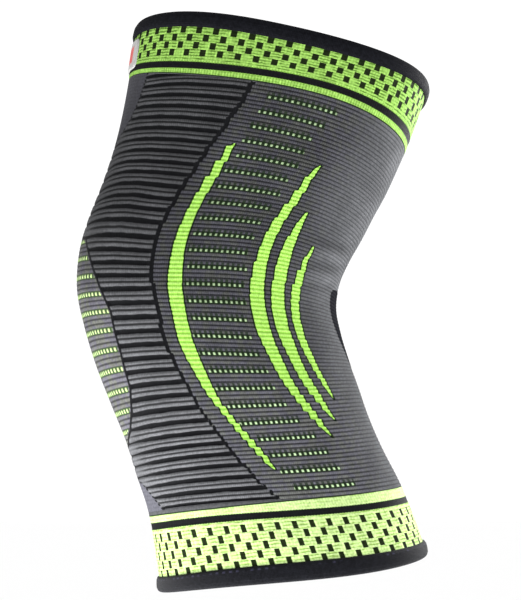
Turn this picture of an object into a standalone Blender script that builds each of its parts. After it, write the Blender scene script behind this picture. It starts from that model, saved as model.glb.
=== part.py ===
"""Knee sleeve: a ribbed elastic knit tube, in the form that it has around a slightly bent knee.

Lengths are in metres and angles in degrees. The front of the knee faces -X, the back of the knee +X, and
the leg runs up along +Z. The origin is the centre of the knee. A place on the sleeve is given by an angle
around the leg (0 at the front, 90 at the side) and a height, which is a share of the knit length from the
lower rim (0) to the upper rim (1).
"""
import math

import bmesh
import bpy
from mathutils import Vector

# Overall sizes of the worn sleeve
KNIT_LENGTH = 0.251  # rim to rim, along the side of the leg
KNEE_DEPTH = 0.123  # front to back, over the kneecap
KNEE_WIDTH = 0.108  # side to side, at the kneecap

# Bands above and below the tube, measured along the leg
LOWER_HEM_HEIGHT = 0.0085
LOWER_CUFF_HEIGHT = 0.0275
UPPER_CUFF_HEIGHT = 0.0235
UPPER_HEM_HEIGHT = 0.0075

# Walls, and the gap that neighbouring pieces keep
TUBE_WALL = 0.0022
CUFF_WALL = 0.0018
HEM_WALL = 0.0009
SEAM_GAP = 0.0003

# Wide ribs of the two front side panels
RIB_COUNT = 35
RIB_DEPTH = 0.0007
RIB_FADE = 9.0  # degrees over which a rib runs out at the edge of its panel

# Plain patch on the front of the upper cuff
LABEL_WIDTH = 0.044
LABEL_HEIGHT = 0.013
LABEL_THICKNESS = 0.0008
LABEL_CORNER = 0.003
LABEL_HEM_DISTANCE = 0.0012

# Fineness of the walls
SIDES = 36
TUBE_INNER_SPANS = 14
CUFF_SPANS = 5
HEM_ARC_SPANS = 6
LABEL_SPANS = 8
CORNER_SPANS = 3

# Cross-sections of the leg. Height, front_z and back_z are shares of the knit length; front_x, back_x, sag
# and lift are shares of the knee's depth; width is a share of the knee's width. Front and back are the
# section's two ends. Sag bends the knit rows up towards the front, lift arches them up at the side, and
# skew puts the widest place nearer the back.
SECTION_COLUMNS = ("height", "front_x", "front_z", "back_x", "back_z", "width", "skew", "sag", "lift")
SECTIONS = (
    (0.000, -0.170, -0.548, 0.840, -0.481, 1.050, 0.10, 0.021, 0.000),  # lower rim
    (0.034, -0.174, -0.520, 0.829, -0.453, 1.045, 0.10, 0.021, 0.009),  # top of the lower hem
    (0.143, -0.216, -0.402, 0.753, -0.353, 1.020, 0.08, 0.020, 0.004),  # top of the lower cuff
    (0.218, -0.267, -0.327, 0.678, -0.279, 0.990, 0.06, 0.023, 0.006),
    (0.276, -0.307, -0.267, 0.629, -0.222, 0.972, 0.04, 0.021, 0.004),
    (0.333, -0.364, -0.200, 0.591, -0.167, 0.972, 0.02, 0.026, 0.004),  # below the kneecap
    (0.391, -0.424, -0.126, 0.555, -0.117, 0.980, 0.00, 0.020, 0.004),
    (0.449, -0.471, -0.052, 0.525, -0.068, 0.990, 0.00, 0.000, 0.006),
    (0.506, -0.500, 0.016, 0.507, -0.020, 1.000, 0.00, -0.023, 0.012),  # middle of the kneecap
    (0.564, -0.494, 0.086, 0.520, 0.027, 1.010, 0.03, -0.035, 0.016),
    (0.621, -0.462, 0.148, 0.558, 0.071, 1.020, 0.06, -0.042, 0.022),  # above the kneecap
    (0.679, -0.408, 0.219, 0.610, 0.116, 1.037, 0.09, -0.040, 0.018),
    (0.736, -0.363, 0.288, 0.660, 0.163, 1.074, 0.12, -0.039, 0.010),
    (0.794, -0.334, 0.349, 0.709, 0.207, 1.120, 0.15, -0.035, 0.009),
    (0.876, -0.308, 0.422, 0.777, 0.280, 1.185, 0.18, -0.027, 0.014),  # foot of the upper cuff
    (0.897, -0.306, 0.436, 0.793, 0.298, 1.203, 0.18, -0.026, 0.015),
    (0.970, -0.288, 0.496, 0.852, 0.377, 1.240, 0.18, 0.028, -0.014),  # foot of the upper hem
    (1.000, -0.271, 0.530, 0.870, 0.405, 1.258, 0.18, 0.028, -0.014),  # upper rim
)
SQUARING_RATIO = 1.1  # 1 is an ellipse, and more is squarer

# Edges of the knit panels: (share of the tube's height, angle from the front)
SIDE_SEAM = (
    (0.00, 90), (0.04, 87), (0.11, 82), (0.17, 78), (0.23, 74), (0.30, 72), (0.38, 70),
    (0.53, 71), (0.65, 72), (0.75, 75), (0.83, 78), (0.91, 81), (1.00, 86),
)
LOWER_FRONT_PANEL = ((0.00, 33), (0.02, 29), (0.04, 24), (0.07, 17), (0.10, 0))
KNEECAP_PANEL = (
    (0.157, 0), (0.17, 14), (0.20, 26), (0.23, 35), (0.28, 41), (0.35, 44), (0.43, 45),
    (0.47, 43), (0.51, 39), (0.55, 32), (0.60, 20), (0.625, 0),
)
UPPER_FRONT_PANEL = ((0.81, 0), (0.84, 13), (0.88, 24), (0.91, 29), (0.94, 32), (1.00, 34))

# Colours (linear) and roughness of the yarns
GREY_KNIT = ((0.11, 0.11, 0.115), 0.85)
GREEN_KNIT = ((0.36, 0.68, 0.10), 0.8)
BLACK_KNIT = ((0.010, 0.011, 0.015), 0.85)
PATCH_GREY = ((0.55, 0.55, 0.56), 0.6)

PROBE_ANGLE = 0.5  # degrees, and a share of the height: steps that find how the wall faces
PROBE_SHARE = 0.002
WALK_ANGLE = 0.25  # degrees, for distances around the leg

# Heights at which the pieces meet, and half of the gap between them, as shares of the knit length
TUBE_FOOT_SHARE = (LOWER_HEM_HEIGHT + LOWER_CUFF_HEIGHT) / KNIT_LENGTH
TUBE_HEAD_SHARE = 1 - (UPPER_HEM_HEIGHT + UPPER_CUFF_HEIGHT) / KNIT_LENGTH
HALF_GAP_SHARE = SEAM_GAP / 2 / KNIT_LENGTH
HEM_RADIUS = CUFF_WALL / 2 + SEAM_GAP + HEM_WALL  # half of the folded hem's thickness


def section_at(height):
    """The section at a height, on a smooth curve through the table's rows."""
    last = len(SECTIONS) - 2
    row = 0
    while row < last and height > SECTIONS[row + 1][0]:
        row += 1
    low, high = SECTIONS[row], SECTIONS[row + 1]
    before = SECTIONS[max(row - 1, 0)]
    after = SECTIONS[min(row + 2, last + 1)]
    span = high[0] - low[0]
    share = (height - low[0]) / span
    values = {}
    for column, name in enumerate(SECTION_COLUMNS):
        start_slope = (high[column] - before[column]) / (high[0] - before[0]) * span
        end_slope = (after[column] - low[column]) / (after[0] - low[0]) * span
        rise = high[column] - low[column]
        values[name] = (
            low[column] + start_slope * share
            + (3 * rise - 2 * start_slope - end_slope) * share ** 2
            + (start_slope + end_slope - 2 * rise) * share ** 3
        )
    return values


def rounded(value):
    """A sine or cosine, pushed outwards so that the section is a little squarer than an ellipse."""
    return math.copysign(abs(value) ** (1 / SQUARING_RATIO), value)


def surface_point(angle, height):
    """The point on the sleeve's outer surface, without its ribs."""
    section = section_at(height)
    forward = rounded(math.cos(math.radians(angle)))
    sideways = rounded(math.sin(math.radians(angle)))
    front = Vector((section["front_x"] * KNEE_DEPTH, 0, section["front_z"] * KNIT_LENGTH))
    back = Vector((section["back_x"] * KNEE_DEPTH, 0, section["back_z"] * KNIT_LENGTH))
    half_chord = (front - back) / 2
    along_leg = Vector((half_chord.z, 0, -half_chord.x)).normalized()
    rise = section["sag"] * (forward - forward ** 3) + section["lift"] * (1 - forward ** 2)
    point = (front + back) / 2 + half_chord * forward + along_leg * rise * KNEE_DEPTH
    point.y = -section["width"] * KNEE_WIDTH / 2 * sideways * (1 - section["skew"] * forward)
    return point


def wall_point(angle, height, depth):
    """The point at a depth under the outer surface, square to it."""
    around = surface_point(angle + PROBE_ANGLE, height) - surface_point(angle - PROBE_ANGLE, height)
    upward = surface_point(angle, height + PROBE_SHARE) - surface_point(angle, height - PROBE_SHARE)
    inward = upward.cross(around).normalized()
    return surface_point(angle, height) + inward * depth


def edge_angle(edge, height):
    """The angle of a panel's edge at a share of the tube's height, or 0 beyond the edge's ends."""
    for (low, low_angle), (high, high_angle) in zip(edge, edge[1:]):
        if low <= height <= high:
            return low_angle + (high_angle - low_angle) * (height - low) / (high - low)
    return 0


def rib_strength(angle, tube_height):
    """How deep the wide ribs are here: 1 inside the front side panels and 0 outside them."""
    from_front = min(angle, 360 - angle)
    panels = (LOWER_FRONT_PANEL, KNEECAP_PANEL, UPPER_FRONT_PANEL)
    inner_edge = max(edge_angle(panel, tube_height) for panel in panels)
    from_seam = (edge_angle(SIDE_SEAM, tube_height) - from_front) / RIB_FADE
    from_inner = (from_front - inner_edge) / RIB_FADE if inner_edge else 1
    return max(0, min(1, from_seam, from_inner))


def spread(start, end, spans):
    """Evenly spaced values from start to end."""
    return [start + (end - start) * step / spans for step in range(spans + 1)]


def tube_profile(angle):
    """The tube's wall at an angle: up its ribbed outside and down its plain inside."""
    foot = TUBE_FOOT_SHARE + HALF_GAP_SHARE
    head = TUBE_HEAD_SHARE - HALF_GAP_SHARE
    outside = []
    for step, tube_height in enumerate(spread(0, 1, 2 * RIB_COUNT)):
        groove = RIB_DEPTH * rib_strength(angle, tube_height) if step % 2 else 0
        outside.append((foot + (head - foot) * tube_height, groove))
    inside = [(height, TUBE_WALL) for height in spread(head, foot, TUBE_INNER_SPANS)]
    return outside + inside


def cuff_profile(foot, head):
    """A plain band of the cuff's wall between two heights."""
    outside = [(height, 0) for height in spread(foot, head, CUFF_SPANS)]
    inside = [(height, CUFF_WALL) for height in spread(head, foot, CUFF_SPANS)]
    return lambda angle: outside + inside


def hem_profile(rim, hem_height, towards_tube):
    """A folded edge: it runs up outside the cuff, over its rim and down its inside."""
    middle = CUFF_WALL / 2

    def height_at(distance):
        return rim + towards_tube * distance / KNIT_LENGTH

    profile = [(height_at(hem_height), middle - HEM_RADIUS)]
    for turn in spread(0, math.pi, HEM_ARC_SPANS):
        distance = HEM_RADIUS * (1 - math.sin(turn))
        profile.append((height_at(distance), middle - HEM_RADIUS * math.cos(turn)))
    profile.append((height_at(hem_height), middle + HEM_RADIUS))
    profile.append((height_at(hem_height), CUFF_WALL + SEAM_GAP))
    profile.append((height_at(HEM_RADIUS), CUFF_WALL + SEAM_GAP))
    profile.append((height_at(HEM_RADIUS), -SEAM_GAP))
    profile.append((height_at(hem_height), -SEAM_GAP))
    return lambda angle: profile


def yarn_material(name, finish):
    """A matt or glossy material of one colour."""
    colour, roughness = finish
    material = bpy.data.materials.new(name)
    material.use_nodes = True
    shader = material.node_tree.nodes["Principled BSDF"]
    shader.inputs["Base Color"].default_value = (*colour, 1)
    shader.inputs["Roughness"].default_value = roughness
    shader.inputs["Metallic"].default_value = 0
    material.diffuse_color = (*colour, 1)
    return material


def add_piece(name, mesh_edit, finish):
    """Turns an edited mesh into a named object with smooth round faces and its own material."""
    bmesh.ops.recalc_face_normals(mesh_edit, faces=mesh_edit.faces)
    mesh = bpy.data.meshes.new(name)
    mesh_edit.to_mesh(mesh)
    mesh_edit.free()
    mesh.shade_smooth()
    mesh.set_sharp_from_angle(angle=math.radians(40))
    mesh.materials.append(yarn_material(name, finish))
    piece = bpy.data.objects.new(name, mesh)
    bpy.context.scene.collection.objects.link(piece)
    return piece


def add_band(name, profile, finish):
    """A closed band around the leg: profile(angle) gives the (height, depth) pairs around its wall."""
    edit = bmesh.new()
    walls = []
    for angle in spread(0, 360, SIDES)[:-1]:
        walls.append([edit.verts.new(wall_point(angle, *place)) for place in profile(angle)])
    for wall, next_wall in zip(walls, walls[1:] + walls[:1]):
        for place in range(len(wall)):
            edit.faces.new((wall[place - 1], wall[place], next_wall[place], next_wall[place - 1]))
    return add_piece(name, edit, finish)


def angle_at_front_distance(distance, height):
    """The angle reached after a distance around the leg from the front."""
    angle = 0
    travelled = 0
    while travelled < distance:
        travelled += (surface_point(angle + WALK_ANGLE, height) - surface_point(angle, height)).length
        angle += WALK_ANGLE
    return angle


def height_below(height, distance):
    """The height reached after a distance down the front of the leg."""
    step = surface_point(0, height) - surface_point(0, height - PROBE_SHARE)
    return height - distance * PROBE_SHARE / step.length


def label_rows():
    """Rows of the patch, top to bottom: (distance from its top edge, half of its width)."""
    corner = []
    for turn in spread(0, math.pi / 2, CORNER_SPANS):
        drop = LABEL_CORNER * (1 - math.cos(turn))
        corner.append((drop, LABEL_WIDTH / 2 - LABEL_CORNER * (1 - math.sin(turn))))
    lower = [(LABEL_HEIGHT - drop, half_width) for drop, half_width in reversed(corner)]
    return corner + lower


def add_label():
    """The patch that lies on the front of the upper cuff, with round corners."""
    top = height_below(1 - UPPER_HEM_HEIGHT / KNIT_LENGTH, LABEL_HEM_DISTANCE)
    half_angle = angle_at_front_distance(LABEL_WIDTH / 2, height_below(top, LABEL_HEIGHT / 2))
    edit = bmesh.new()
    faces = []
    for depth in (-SEAM_GAP, -SEAM_GAP - LABEL_THICKNESS):
        grid = []
        for drop, half_width in label_rows():
            reach = half_angle * half_width / (LABEL_WIDTH / 2)
            height = height_below(top, drop)
            angles = spread(-reach, reach, LABEL_SPANS)
            grid.append([edit.verts.new(wall_point(angle, height, depth)) for angle in angles])
        faces.append(grid)
        for row, next_row in zip(grid, grid[1:]):
            for column in range(LABEL_SPANS):
                edit.faces.new((row[column], row[column + 1], next_row[column + 1], next_row[column]))
    inner, outer = [outline(grid) for grid in faces]
    for place in range(len(inner)):
        edit.faces.new((inner[place - 1], inner[place], outer[place], outer[place - 1]))
    return add_piece("label_patch", edit, PATCH_GREY)


def outline(grid):
    """The vertices around the edge of a grid, in order."""
    right = [row[-1] for row in grid[1:-1]]
    left = [row[0] for row in grid[-2:0:-1]]
    return grid[0] + right + grid[-1][::-1] + left


def main():
    for leftover in list(bpy.data.objects):
        bpy.data.objects.remove(leftover)
    lower_edge = (HEM_RADIUS + SEAM_GAP) / KNIT_LENGTH
    upper_edge = 1 - lower_edge
    add_band("knit_tube", tube_profile, GREY_KNIT)
    add_band("lower_cuff", cuff_profile(lower_edge, TUBE_FOOT_SHARE - HALF_GAP_SHARE), GREEN_KNIT)
    add_band("upper_cuff", cuff_profile(TUBE_HEAD_SHARE + HALF_GAP_SHARE, upper_edge), GREEN_KNIT)
    add_band("lower_hem", hem_profile(0, LOWER_HEM_HEIGHT, 1), BLACK_KNIT)
    add_band("upper_hem", hem_profile(1, UPPER_HEM_HEIGHT, -1), BLACK_KNIT)
    add_label()


main()
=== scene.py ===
"""Knee sleeve, as photographed: a ribbed grey knit tube with green cuffs and black folded hems.

Lengths are in metres. The front of the knee faces -X, the back +X, and the leg runs up along +Z. A place on
the sleeve is given by an angle around the leg (0 at the front, 90 at the side, 180 at the back) and a height,
which is a share of the knit length from the lower rim (0) to the upper rim (1). The two sides are mirror
images. Places on the tube's knit are counted in rows, from row 1 near the upper cuff to row 25 near the
lower one, with four ribs to a row.
"""
import math

import bpy
import numpy as np
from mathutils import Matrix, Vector


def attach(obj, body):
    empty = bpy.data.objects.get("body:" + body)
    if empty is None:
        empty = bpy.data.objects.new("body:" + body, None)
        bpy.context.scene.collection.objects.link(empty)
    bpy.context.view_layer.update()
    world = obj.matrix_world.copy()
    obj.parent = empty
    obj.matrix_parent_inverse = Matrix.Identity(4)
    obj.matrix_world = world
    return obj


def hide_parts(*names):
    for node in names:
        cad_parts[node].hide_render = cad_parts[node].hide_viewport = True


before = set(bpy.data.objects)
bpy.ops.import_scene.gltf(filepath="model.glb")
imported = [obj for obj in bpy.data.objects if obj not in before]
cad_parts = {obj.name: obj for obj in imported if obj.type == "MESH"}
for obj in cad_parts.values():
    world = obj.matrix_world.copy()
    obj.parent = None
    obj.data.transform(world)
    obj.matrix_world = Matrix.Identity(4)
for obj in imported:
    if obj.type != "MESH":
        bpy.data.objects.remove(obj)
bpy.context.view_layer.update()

# Overall sizes of the worn sleeve
KNIT_LENGTH = 0.251
KNEE_DEPTH = 0.123
KNEE_WIDTH = 0.108
LOWER_HEM_HEIGHT = 0.0085
LOWER_CUFF_HEIGHT = 0.0275
UPPER_CUFF_HEIGHT = 0.0235
UPPER_HEM_HEIGHT = 0.0075
TUBE_WALL = 0.0022
CUFF_WALL = 0.0018
HEM_RADIUS = 0.0021

# Cross-sections of the leg: height, front_x, front_z, back_x, back_z, width, skew, sag, lift. Height, front_z
# and back_z are shares of the knit length; front_x, back_x, sag and lift of the knee's depth; width of the
# knee's width. Front and back are the section's two ends. Sag bends the knit rows up towards the front, lift
# arches them up at the side, and skew puts the widest place nearer the back.
SECTIONS = np.array((
    (0.000, -0.170, -0.548, 0.840, -0.481, 1.050, 0.10, 0.021, 0.000),
    (0.034, -0.174, -0.520, 0.829, -0.453, 1.045, 0.10, 0.021, 0.009),
    (0.143, -0.216, -0.402, 0.753, -0.353, 1.020, 0.08, 0.020, 0.004),
    (0.218, -0.267, -0.327, 0.678, -0.279, 0.990, 0.06, 0.023, 0.006),
    (0.276, -0.307, -0.267, 0.629, -0.222, 0.972, 0.04, 0.021, 0.004),
    (0.333, -0.364, -0.200, 0.591, -0.167, 0.972, 0.02, 0.026, 0.004),
    (0.391, -0.424, -0.126, 0.555, -0.117, 0.980, 0.00, 0.020, 0.004),
    (0.449, -0.471, -0.052, 0.525, -0.068, 0.990, 0.00, 0.000, 0.006),
    (0.506, -0.500, 0.016, 0.507, -0.020, 1.000, 0.00, -0.023, 0.012),
    (0.564, -0.494, 0.086, 0.520, 0.027, 1.010, 0.03, -0.035, 0.016),
    (0.621, -0.462, 0.148, 0.558, 0.071, 1.020, 0.06, -0.042, 0.022),
    (0.679, -0.408, 0.219, 0.610, 0.116, 1.037, 0.09, -0.040, 0.018),
    (0.736, -0.363, 0.288, 0.660, 0.163, 1.074, 0.12, -0.039, 0.010),
    (0.794, -0.334, 0.349, 0.709, 0.207, 1.120, 0.15, -0.035, 0.009),
    (0.876, -0.308, 0.422, 0.777, 0.280, 1.185, 0.18, -0.027, 0.014),
    (0.897, -0.306, 0.436, 0.793, 0.298, 1.203, 0.18, -0.026, 0.015),
    (0.970, -0.288, 0.496, 0.852, 0.377, 1.240, 0.18, 0.028, -0.014),
    (1.000, -0.271, 0.530, 0.870, 0.405, 1.258, 0.18, 0.028, -0.014),
))
SQUARING = 1 / 1.1  # below 1, the sections are a little squarer than ellipses
ROUND_STEP = 0.5  # degrees, and a share of the height: steps that find how the surface faces
UP_STEP = 0.002

TUBE_FOOT = (LOWER_HEM_HEIGHT + LOWER_CUFF_HEIGHT) / KNIT_LENGTH
TUBE_HEAD = 1 - (UPPER_HEM_HEIGHT + UPPER_CUFF_HEIGHT) / KNIT_LENGTH


def section_columns(height):
    """The section table's columns at an array of heights, on a smooth curve through its rows."""
    heights = SECTIONS[:, 0]
    last = len(heights) - 1
    row = np.clip(np.searchsorted(heights[1:], height), 0, last - 1)
    low, high = SECTIONS[row], SECTIONS[row + 1]
    before, after = SECTIONS[np.maximum(row - 1, 0)], SECTIONS[np.minimum(row + 2, last)]
    span = high[..., :1] - low[..., :1]
    share = (height[..., None] - low[..., :1]) / span
    start = (high - before) / (high[..., :1] - before[..., :1]) * span
    end = (after - low) / (after[..., :1] - low[..., :1]) * span
    rise = high - low
    square, cube = 3 * rise - 2 * start - end, start + end - 2 * rise
    return np.moveaxis(low + start * share + square * share ** 2 + cube * share ** 3, -1, 0)


def rounded(values):
    return np.sign(values) * np.abs(values) ** SQUARING


def surface(angle, height):
    """Points on the sleeve's outer surface, without its ribs."""
    angle, height = np.broadcast_arrays(np.asarray(angle, float), np.asarray(height, float))
    _, front_x, front_z, back_x, back_z, width, skew, sag, lift = section_columns(height)
    forward = rounded(np.cos(np.radians(angle)))
    sideways = rounded(np.sin(np.radians(angle)))
    half_x = (front_x - back_x) / 2 * KNEE_DEPTH
    half_z = (front_z - back_z) / 2 * KNIT_LENGTH
    reach = np.hypot(half_x, half_z)
    rise = (sag * (forward - forward ** 3) + lift * (1 - forward ** 2)) * KNEE_DEPTH
    x = (front_x + back_x) / 2 * KNEE_DEPTH + half_x * forward + half_z / reach * rise
    z = (front_z + back_z) / 2 * KNIT_LENGTH + half_z * forward - half_x / reach * rise
    y = -width * KNEE_WIDTH / 2 * sideways * (1 - skew * forward)
    return np.stack((x, y, z), axis=-1)


def wall(angle, height, depth):
    """Points at a depth under the outer surface, square to it."""
    round_step = surface(angle + ROUND_STEP, height) - surface(angle - ROUND_STEP, height)
    up_step = surface(angle, height + UP_STEP) - surface(angle, height - UP_STEP)
    inward = np.cross(up_step, round_step)
    inward /= np.linalg.norm(inward, axis=-1, keepdims=True)
    return surface(angle, height) + inward * np.asarray(depth)[..., None]


# Even distances around the leg: "turn" runs from 0 at the front to 180 at the back by equal lengths of knit,
# about a millimetre each
FINE_ANGLES = np.linspace(0, 180, 1441)
FINE_STEPS = np.linalg.norm(np.diff(surface(FINE_ANGLES, 0.5), axis=0), axis=-1)
FINE_TURNS = np.concatenate(([0], np.cumsum(FINE_STEPS))) / FINE_STEPS.sum() * 180


def turn_of(angle):
    return np.interp(angle, FINE_ANGLES, FINE_TURNS)


def angle_of(turn):
    return np.interp(turn, FINE_TURNS, FINE_ANGLES)


# Edges of the knit's panels and coloured shapes, as (row, angle) pairs
SIDE_SEAM = (
    (0.1, 86), (1.5, 84), (2.5, 82), (3.6, 80), (4.5, 77.5), (5.4, 76), (6.5, 74), (7.4, 72.5),
    (8.3, 71.7), (9.3, 71), (10.4, 70), (12.3, 70), (13.3, 71), (15.2, 71), (16.1, 70), (17.1, 71),
    (18.1, 72), (19, 73), (19.9, 74), (20.7, 76), (21.4, 78), (22.8, 82), (23.7, 84.5), (24.6, 87),
    (25.6, 91),
)
KNEECAP_EDGE = (
    (10, 0), (10.3, 22), (11, 28), (11.5, 32), (12.6, 39), (13.6, 43), (14.6, 45.5), (15.7, 44.5),
    (16.7, 44), (17.8, 42.3), (18.6, 41), (19.7, 35), (20.6, 26), (21.3, 13), (21.7, 0),
)
UPPER_GUSSET_EDGE = (
    (0.0, 36), (0.7, 35.3), (1.5, 34), (2.3, 32.5), (3.2, 29.5), (3.8, 26), (4.4, 20), (4.8, 12), (5, 0),
)
LOWER_GUSSET_EDGE = (
    (23.1, 0), (23.9, 18), (24.5, 24), (25, 28), (25.6, 33),
)
DOTS_START = (
    (1, 91), (2, 90), (3, 89), (4, 88), (5, 88), (6, 85.5), (9, 85), (10, 84.5), (11, 84), (12, 85),
    (13, 84), (15, 84), (16, 83), (17, 83), (18, 84), (19, 84), (20, 86), (21, 88), (22, 92), (23, 94),
    (24, 95.5), (25, 98),
)
DOTS_END = (
    (1, 117), (2, 114), (3, 111), (4, 110), (5, 110), (6, 108.5), (7, 108), (8, 107), (9, 106.3),
    (10, 106), (11, 105), (12, 106), (13, 105), (14, 105), (15, 104), (16, 104), (17, 105), (18, 106),
    (19, 106.5), (20, 109), (21, 112), (22, 117), (23, 120), (24, 122), (25, 126),
)
HOLLOW_EDGE = (
    (11.65, 180), (11.7, 168), (11.85, 162), (12.2, 159.5), (12.8, 159), (13.5, 158.5), (14.2, 159),
    (14.9, 160.5), (15.6, 163), (16.3, 166), (16.9, 168), (17.3, 170), (17.6, 180),
)
# Front limit of the plainer, finer knit behind the crescents
PLAIN_EDGE = (
    (0.0, 127), (4, 126), (7, 124), (9, 131), (11, 131), (13, 129), (16, 131), (18, 134), (20, 138),
    (22, 135), (25.6, 134),
)
# The four green crescents: (front edge, back edge)
CRESCENTS = (
    ((
        (4.2, 85.8), (4.6, 84), (5.7, 81.9), (6.7, 80.2), (7.7, 79.2), (8.7, 78.8), (9.7, 78.3),
        (10.7, 78), (11.7, 77.8), (12.6, 77.4), (13.5, 77.1), (14.4, 76.9), (15.4, 76.6), (16.3, 76.2),
        (17.2, 76.9), (18, 78), (18.9, 79.1), (19.5, 80.3), (20.4, 83.2), (21.2, 85.4), (21.7, 86.8),
        (22.7, 89.6), (23.7, 92.5), (23.9, 94),
    ), (
        (4.2, 86.2), (4.6, 86.2), (5.6, 85.1), (6.6, 84.2), (7.6, 83.2), (8.6, 83), (9.7, 82.9),
        (10.7, 82.8), (11.6, 83.2), (12.6, 83.1), (13.5, 82.9), (14.4, 82.7), (15.3, 82.3), (16.3, 82.1),
        (17.1, 82.4), (18, 82.7), (18.9, 83.2), (19.8, 84.1), (20.4, 85.9), (21.2, 87.9), (21.7, 89.4),
        (22.7, 91.8), (23.3, 93.2), (23.9, 94.2),
    )),
    ((
        (4.4, 119.3), (4.8, 117.2), (6, 114.7), (7.2, 112.8), (8.4, 111.2), (9.5, 110.2), (10.6, 109.6),
        (11.6, 108.9), (12.6, 108), (13.6, 107.2), (14.5, 106.8), (15.4, 106.8), (16.3, 107.9),
        (17.3, 109.2), (18.3, 110.3), (19.2, 112.4), (20.3, 115.9), (21.3, 120.4), (21.8, 123.2),
        (22.2, 126),
    ), (
        (4.4, 119.9), (4.7, 119.2), (5.8, 118.1), (7, 117), (8.2, 115.8), (9.3, 115.1), (10.4, 114.6),
        (11.5, 114.3), (12.5, 114.3), (13.5, 113.7), (14.4, 113.3), (15.4, 113.4), (16.3, 113.9),
        (17.3, 114.9), (18.3, 115.6), (19.3, 117.2), (20.3, 120.6), (21.3, 123.7), (21.8, 125.2),
        (22.2, 126.4),
    )),
    ((
        (7.6, 122.6), (8, 122), (9.2, 120.7), (10.3, 119.3), (11.4, 118.8), (12.5, 118.1), (13.5, 116.9),
        (14.4, 116.2), (15.4, 116.2), (16.3, 117.2), (17.3, 118.7), (18.3, 119.8), (19.3, 122.1),
        (20.3, 126.4), (20.8, 128.8), (21.2, 131.6),
    ), (
        (7.6, 123.8), (7.9, 123.9), (9, 124.4), (10.1, 124.9), (11.2, 125.1), (12.3, 124.7),
        (13.3, 123.7), (14.3, 123), (15.3, 122.8), (16.2, 123.7), (17.2, 124.2), (18.3, 125.4),
        (19.3, 127.5), (20.4, 130), (20.8, 131), (21.2, 132),
    )),
    ((
        (9.6, 134), (10.6, 132.8), (11.8, 130), (12.9, 128.1), (13.9, 126.5), (14.9, 125.7),
        (15.9, 126.3), (16.9, 127.8), (17.9, 129.5), (19, 132.2), (19.5, 134), (19.9, 136),
    ), (
        (9.6, 135.3), (10.4, 135.3), (11.6, 134.5), (12.7, 133.6), (13.8, 131.5), (14.8, 130.5),
        (15.8, 130.9), (16.8, 132), (17.9, 133.3), (19, 135.2), (19.5, 135.8), (19.9, 136.4),
    )),
)
# Distance between dots, in turns, at some rows; the dot columns are counted from DOTS_MIDDLE
DOT_SPACING = (
    (1, 2.3), (6, 2.37), (9, 2.28), (15, 2.25), (18, 2.36), (21, 2.36), (23, 2.44), (25, 2.54),
)
DOTS_MIDDLE = 97.0
# Middles of the dark grooves between the wide front ribs, as shares of the tube's height
GROOVES = np.array((
    -0.05, -0.023, 0.004, 0.031, 0.058, 0.086, 0.113, 0.14, 0.1675, 0.1947, 0.2232, 0.2504, 0.2776,
    0.3048, 0.3307, 0.3593, 0.3878, 0.4191, 0.4517, 0.4844, 0.5157, 0.5442, 0.5741, 0.6081, 0.6476,
    0.6761, 0.7006, 0.7265, 0.7523, 0.7754, 0.8013, 0.8271, 0.8543, 0.882, 0.911, 0.94, 0.968, 0.996,
    1.024,
))
# How far the grooves are above (or below, with a minus) their place at 50 degrees, in millimetres: by angle
# around the leg (rows) and height along the knit (columns)
LEAN_ANGLES = (15, 27, 38, 50, 60, 70, 80)
LEAN_HEIGHTS = (125, 143, 155, 165, 174, 184, 194, 205, 216)
LEAN = (
    (0, -0.4, -1.8, -3.2, -3.2, -3.3, -3.5, -3.8, -4.2),
    (0, -0.2, -0.6, -1.4, -1.5, -1.9, -2.1, -2.4, -2.8),
    (0, 0, -0.1, -0.3, -0.3, -0.8, -1.0, -1.0, -1.3),
    (0, 0, 0, 0, 0, 0, 0, 0, 0),
    (0, -0.5, -0.8, -0.7, 0, 0.2, 0.6, 0.8, 1.0),
    (0, -1.2, -1.6, -1.2, -0.2, 0.4, 1.0, 1.2, 1.3),
    (0, -1.4, -1.8, -1.6, -0.3, 0.4, 1.2, 1.5, 1.8),
)

RIBS = 102  # fine ribs from the tube's foot to its head
RIBS_A_ROW = 4
STEPS_A_RIB = 4  # rows of points for each rib of the tube's mesh
LAST_ROW = 25.625  # the row number at the tube's foot
ROW_HEIGHT = 7.2  # millimetres, about
WALE = 0.95  # turn from one wale of loops to the next
STEPS_DOUBLE_AT = 13  # the row from which the crescents' edges have two steps to a row
TIP_WIDTH = 2.5  # turns; a crescent narrower than that has smooth edges
OUTSIDE = -10.0  # how far inside a pattern a place is, where it has no part of it
SEAM_HALF_WIDTH = 0.82  # turns, and what it gains at the knee and above
SEAM_WIDENING = 0.22
SEAM_SLOPE = (0.3, 1.8)  # turns from the seam, between which its groove ends
RIBS_START = (0.8, 2.2)  # turns from the seam, between which the fine ribs and the wide ones get their depth
WIDE_RIBS_START = (0.8, 2.6)
PLAIN_FADE = (-12, 22)  # turns from its front limit to where the plainer knit starts and is full
GROOVE_HALF_WIDTH = 0.07  # share of a wide rib at the front, and what it gains at the sides
GROOVE_WIDENING = 0.11
# Turns from the front between which the grooves widen, the wide ribs split in two, and both get deeper
WIDENING = (18, 45)
SPLITTING = (16, 32)
DEEPENING = (15, 45)
FRONT_DEPTH = 0.45  # share of their full depth that the wide ribs have at the front
SPLIT_DEPTH = 0.35  # share of the grooves' depth that the lines in the wide ribs have
KNEECAP_FIRST_ROW = 11.46  # the row with the kneecap's first dots
KNEECAP_ROW_STEP = 1.024  # rows
KNEECAP_DOT_STEP = 2.9  # turns

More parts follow.
